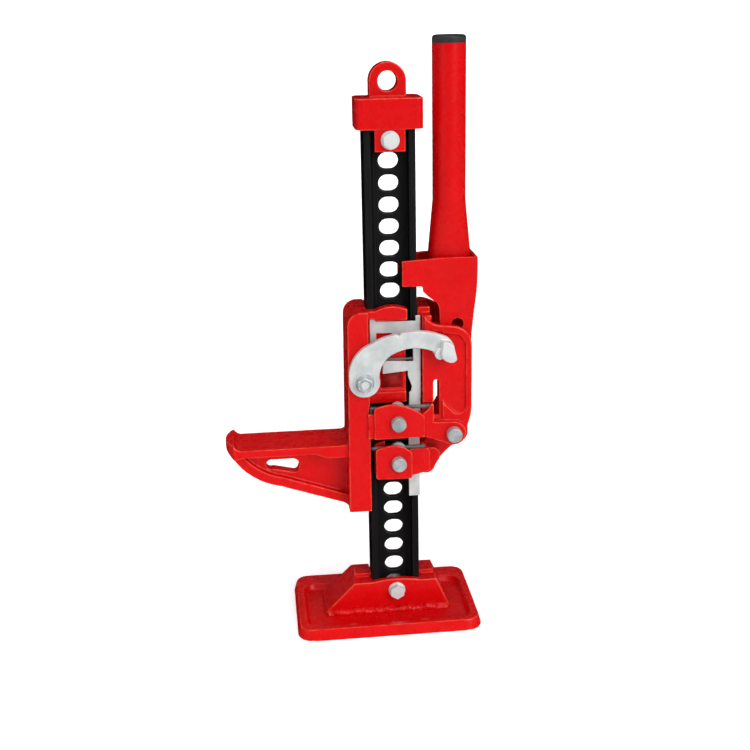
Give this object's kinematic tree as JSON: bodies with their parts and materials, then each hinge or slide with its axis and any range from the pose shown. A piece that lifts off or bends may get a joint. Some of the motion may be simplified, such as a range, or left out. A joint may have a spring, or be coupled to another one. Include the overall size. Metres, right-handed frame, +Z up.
{
  "type": "toe jack",
  "caption": "Ratchet rack jack with a side toe, climbing pins, reversing latch and tubular handle.",
  "frame": {"origin": "on the ground under the centre line of the rack", "axes": "+Z up along the rack, -X towards the toe, +X towards the handle, -Y towards the front with the climbing pins"},
  "size_m": [0.2475, 0.1225, 0.573],
  "materials": {
    "red_enamel": "gloss red enamel over casting",
    "red_enamel_plate": "gloss red enamel over pressed plate",
    "red_enamel_tube": "gloss red enamel over tube",
    "black_enamel": "satin black enamel",
    "zinc_plate": "zinc plated, satin",
    "zinc_cast": "zinc plated casting, satin",
    "steel_pin": "ground steel",
    "dark_steel": "oiled dark steel",
    "spring_steel": "spring steel",
    "cap_plastic": "moulded black cap"
  },
  "bodies": {
    "rack_and_base": {"rack": "black_enamel", "base_plate": "red_enamel_plate", "base_saddle": "red_enamel", "base_bolt": "zinc_plate", "base_washers": "zinc_plate", "base_nut": "zinc_plate", "top_clevis": "red_enamel", "clevis_bolt": "zinc_plate", "clevis_washers": "zinc_plate", "clevis_nut": "zinc_plate"},
    "large_runner_unit": {"large_runner": "red_enamel", "handle_pivot_pin": "steel_pin", "pivot_washer": "zinc_plate", "pivot_cotter": "zinc_plate", "latch_bolt": "zinc_plate", "latch_washer": "zinc_plate", "upper_pin_spring": "spring_steel"},
    "small_runner_unit": {"small_runner": "red_enamel", "pitman_pin": "steel_pin", "lower_pin_spring": "spring_steel"},
    "handle": {"handle_socket": "red_enamel_plate", "pitman_shear_pin": "steel_pin", "handle_tube": "red_enamel_tube", "handle_cap": "cap_plastic"},
    "pitman_link": {"pitman": "red_enamel"},
    "latch": {"reversing_latch": "zinc_cast"},
    "control_frame_unit": {"control_frame": "zinc_plate", "frame_wire": "dark_steel"},
    "upper_pin": {"upper_climbing_pin": "steel_pin", "upper_cross_pin": "dark_steel"},
    "lower_pin": {"lower_climbing_pin": "steel_pin", "lower_cross_pin": "dark_steel"}
  },
  "joints": [
    {"name": "lift_slide", "type": "slide", "parent": "rack_and_base", "child": "large_runner_unit", "axis": [0, 0, 1], "range_m": [-0.06192, 0.08256]},
    {"name": "handle_swing", "type": "hinge", "parent": "large_runner_unit", "child": "handle", "pos_m": [0.057, 0, 0.2], "axis": [0, 1, 0], "range_deg": [0, 90]},
    {"name": "small_runner_slide", "type": "slide", "parent": "large_runner_unit", "child": "small_runner_unit", "axis": [0, 0, 1], "range_m": [-0.02066, 0]},
    {"name": "pitman_swing", "type": "hinge", "parent": "handle", "child": "pitman_link", "pos_m": [0.06732, 0, 0.21032], "axis": [0, 1, 0], "range_deg": [-90.01, 0]},
    {"name": "latch_turn", "type": "hinge", "parent": "large_runner_unit", "child": "latch", "pos_m": [-0.0296, -0.034, 0.2578], "axis": [0, 1, 0], "range_deg": [0, 25]},
    {"name": "control_frame_slide", "type": "slide", "parent": "large_runner_unit", "child": "control_frame_unit", "axis": [0, 0, 1], "range_m": [-0.0061, 0]},
    {"name": "upper_pin_slide", "type": "slide", "parent": "large_runner_unit", "child": "upper_pin", "axis": [0, 1, 0], "range_m": [0, 0.0064], "deforming": ["upper_pin_spring"]},
    {"name": "lower_pin_slide", "type": "slide", "parent": "small_runner_unit", "child": "lower_pin", "axis": [0, 1, 0], "range_m": [0, 0.0064], "deforming": ["lower_pin_spring"]}
  ],
  "couplings": [
    {"joint": "small_runner_slide", "follows": "handle_swing", "m_per_rad": -0.01314},
    {"joint": "pitman_swing", "follows": "handle_swing", "ratio": -1},
    {"joint": "control_frame_slide", "follows": "latch_turn", "m_per_rad": -0.013751}
  ]
}
